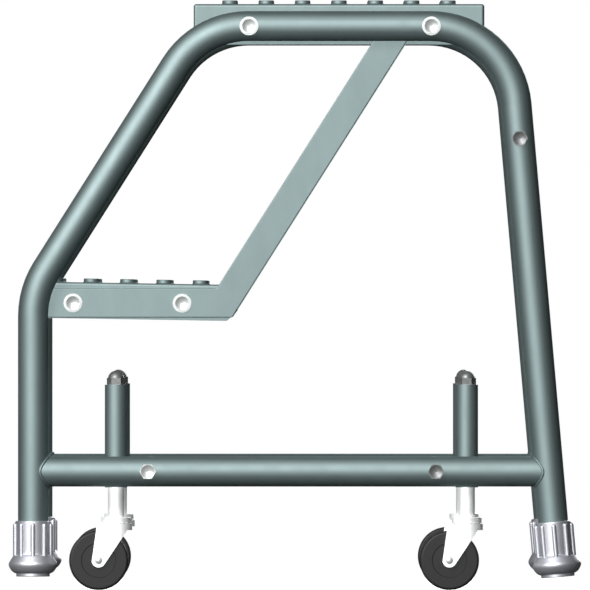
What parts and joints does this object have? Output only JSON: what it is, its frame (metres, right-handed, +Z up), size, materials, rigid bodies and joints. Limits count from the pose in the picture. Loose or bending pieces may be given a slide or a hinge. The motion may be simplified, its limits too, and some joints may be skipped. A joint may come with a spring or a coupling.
{
  "type": "rolling warehouse ladder",
  "caption": "Low rolling step ladder: bent tube side frames, pierced sheet treads, rubber tips, and sprung swivel casters that retract under a climber's weight.",
  "frame": {"origin": "on the floor under the middle of the ladder, at the bottom centre of its bounding box", "axes": "+Z up; +X towards the back, the way a climber faces; +Y towards the climber's left"},
  "size_m": [0.5081, 0.4824, 0.5239],
  "materials": {
    "powder_coat": "smooth grey powder coat",
    "zinc": "clear zinc plate",
    "bright_zinc": "bright zinc plate",
    "grey_zinc": "dull zinc plate",
    "steel": "plain steel",
    "nylon": "natural nylon",
    "wheel_rubber": "moulded dark rubber",
    "tip_rubber": "glossy light grey rubber"
  },
  "bodies": {
    "frame": {"left_side_tube": "powder_coat", "right_side_tube": "powder_coat", "left_base_rail": "powder_coat", "right_base_rail": "powder_coat", "left_step_strap": "powder_coat", "right_step_strap": "powder_coat", "top_tread": "powder_coat", "lower_tread": "powder_coat", "front_cross_tube": "powder_coat", "rear_cross_tube": "powder_coat", "upper_cross_tube": "powder_coat", "cross_tube_plugs": "steel", "tread_bolts": "bright_zinc", "tread_nuts": "bright_zinc", "top_tread_spacers": "zinc", "front_cross_bolts": "bright_zinc", "rear_cross_bolts": "grey_zinc", "front_left_tip": "tip_rubber", "front_right_tip": "tip_rubber", "rear_left_tip": "tip_rubber", "rear_right_tip": "tip_rubber", "tip_washers": "steel", "housing_caps": "zinc", "housing_bushings": "nylon", "front_left_housing": "powder_coat", "front_left_spring": "steel", "front_right_housing": "powder_coat", "front_right_spring": "steel", "rear_left_housing": "powder_coat", "rear_left_spring": "steel", "rear_right_housing": "powder_coat", "rear_right_spring": "steel"},
    "front_left_plunger": {"front_left_stem": "zinc", "front_left_acorn_nut": "grey_zinc", "front_left_race_cup": "zinc"},
    "front_left_swivel": {"front_left_fork": "zinc", "front_left_axle": "bright_zinc", "front_left_race_balls": "steel"},
    "front_left_roller": {"front_left_wheel": "wheel_rubber"},
    "front_right_plunger": {"front_right_stem": "zinc", "front_right_acorn_nut": "grey_zinc", "front_right_race_cup": "zinc"},
    "front_right_swivel": {"front_right_fork": "zinc", "front_right_axle": "bright_zinc", "front_right_race_balls": "steel"},
    "front_right_roller": {"front_right_wheel": "wheel_rubber"},
    "rear_left_plunger": {"rear_left_stem": "zinc", "rear_left_acorn_nut": "grey_zinc", "rear_left_race_cup": "zinc"},
    "rear_left_swivel": {"rear_left_fork": "zinc", "rear_left_axle": "bright_zinc", "rear_left_race_balls": "steel"},
    "rear_left_roller": {"rear_left_wheel": "wheel_rubber"},
    "rear_right_plunger": {"rear_right_stem": "zinc", "rear_right_acorn_nut": "grey_zinc", "rear_right_race_cup": "zinc"},
    "rear_right_swivel": {"rear_right_fork": "zinc", "rear_right_axle": "bright_zinc", "rear_right_race_balls": "steel"},
    "rear_right_roller": {"rear_right_wheel": "wheel_rubber"}
  },
  "joints": [
    {"name": "front_left_retract", "type": "slide", "parent": "frame", "child": "front_left_plunger", "axis": [0, 0, 1], "range_m": [0, 0.0127], "stiffness_N_per_m": 4300, "springref_m": -0.015, "deforming": ["front_left_spring"]},
    {"name": "front_left_swivel_turn", "type": "hinge", "parent": "front_left_plunger", "child": "front_left_swivel", "pos_m": [-0.15895, 0.19468, 0.059], "axis": [0, 0, 1], "continuous": true},
    {"name": "front_left_wheel_spin", "type": "hinge", "parent": "front_left_swivel", "child": "front_left_roller", "pos_m": [-0.17435, 0.19468, 0.0263], "axis": [0, 1, 0], "continuous": true},
    {"name": "front_right_retract", "type": "slide", "parent": "frame", "child": "front_right_plunger", "axis": [0, 0, 1], "range_m": [0, 0.0127], "stiffness_N_per_m": 4300, "springref_m": -0.015, "deforming": ["front_right_spring"]},
    {"name": "front_right_swivel_turn", "type": "hinge", "parent": "front_right_plunger", "child": "front_right_swivel", "pos_m": [-0.15895, -0.19468, 0.059], "axis": [0, 0, 1], "continuous": true},
    {"name": "front_right_wheel_spin", "type": "hinge", "parent": "front_right_swivel", "child": "front_right_roller", "pos_m": [-0.17435, -0.19468, 0.0263], "axis": [0, 1, 0], "continuous": true},
    {"name": "rear_left_retract", "type": "slide", "parent": "frame", "child": "rear_left_plunger", "axis": [0, 0, 1], "range_m": [0, 0.0127], "stiffness_N_per_m": 4300, "springref_m": -0.015, "deforming": ["rear_left_spring"]},
    {"name": "rear_left_swivel_turn", "type": "hinge", "parent": "rear_left_plunger", "child": "rear_left_swivel", "pos_m": [0.1526, 0.19468, 0.059], "axis": [0, 0, 1], "continuous": true},
    {"name": "rear_left_wheel_spin", "type": "hinge", "parent": "rear_left_swivel", "child": "rear_left_roller", "pos_m": [0.1372, 0.19468, 0.0263], "axis": [0, 1, 0], "continuous": true},
    {"name": "rear_right_retract", "type": "slide", "parent": "frame", "child": "rear_right_plunger", "axis": [0, 0, 1], "range_m": [0, 0.0127], "stiffness_N_per_m": 4300, "springref_m": -0.015, "deforming": ["rear_right_spring"]},
    {"name": "rear_right_swivel_turn", "type": "hinge", "parent": "rear_right_plunger", "child": "rear_right_swivel", "pos_m": [0.1526, -0.19468, 0.059], "axis": [0, 0, 1], "continuous": true},
    {"name": "rear_right_wheel_spin", "type": "hinge", "parent": "rear_right_swivel", "child": "rear_right_roller", "pos_m": [0.1372, -0.19468, 0.0263], "axis": [0, 1, 0], "continuous": true}
  ]
}
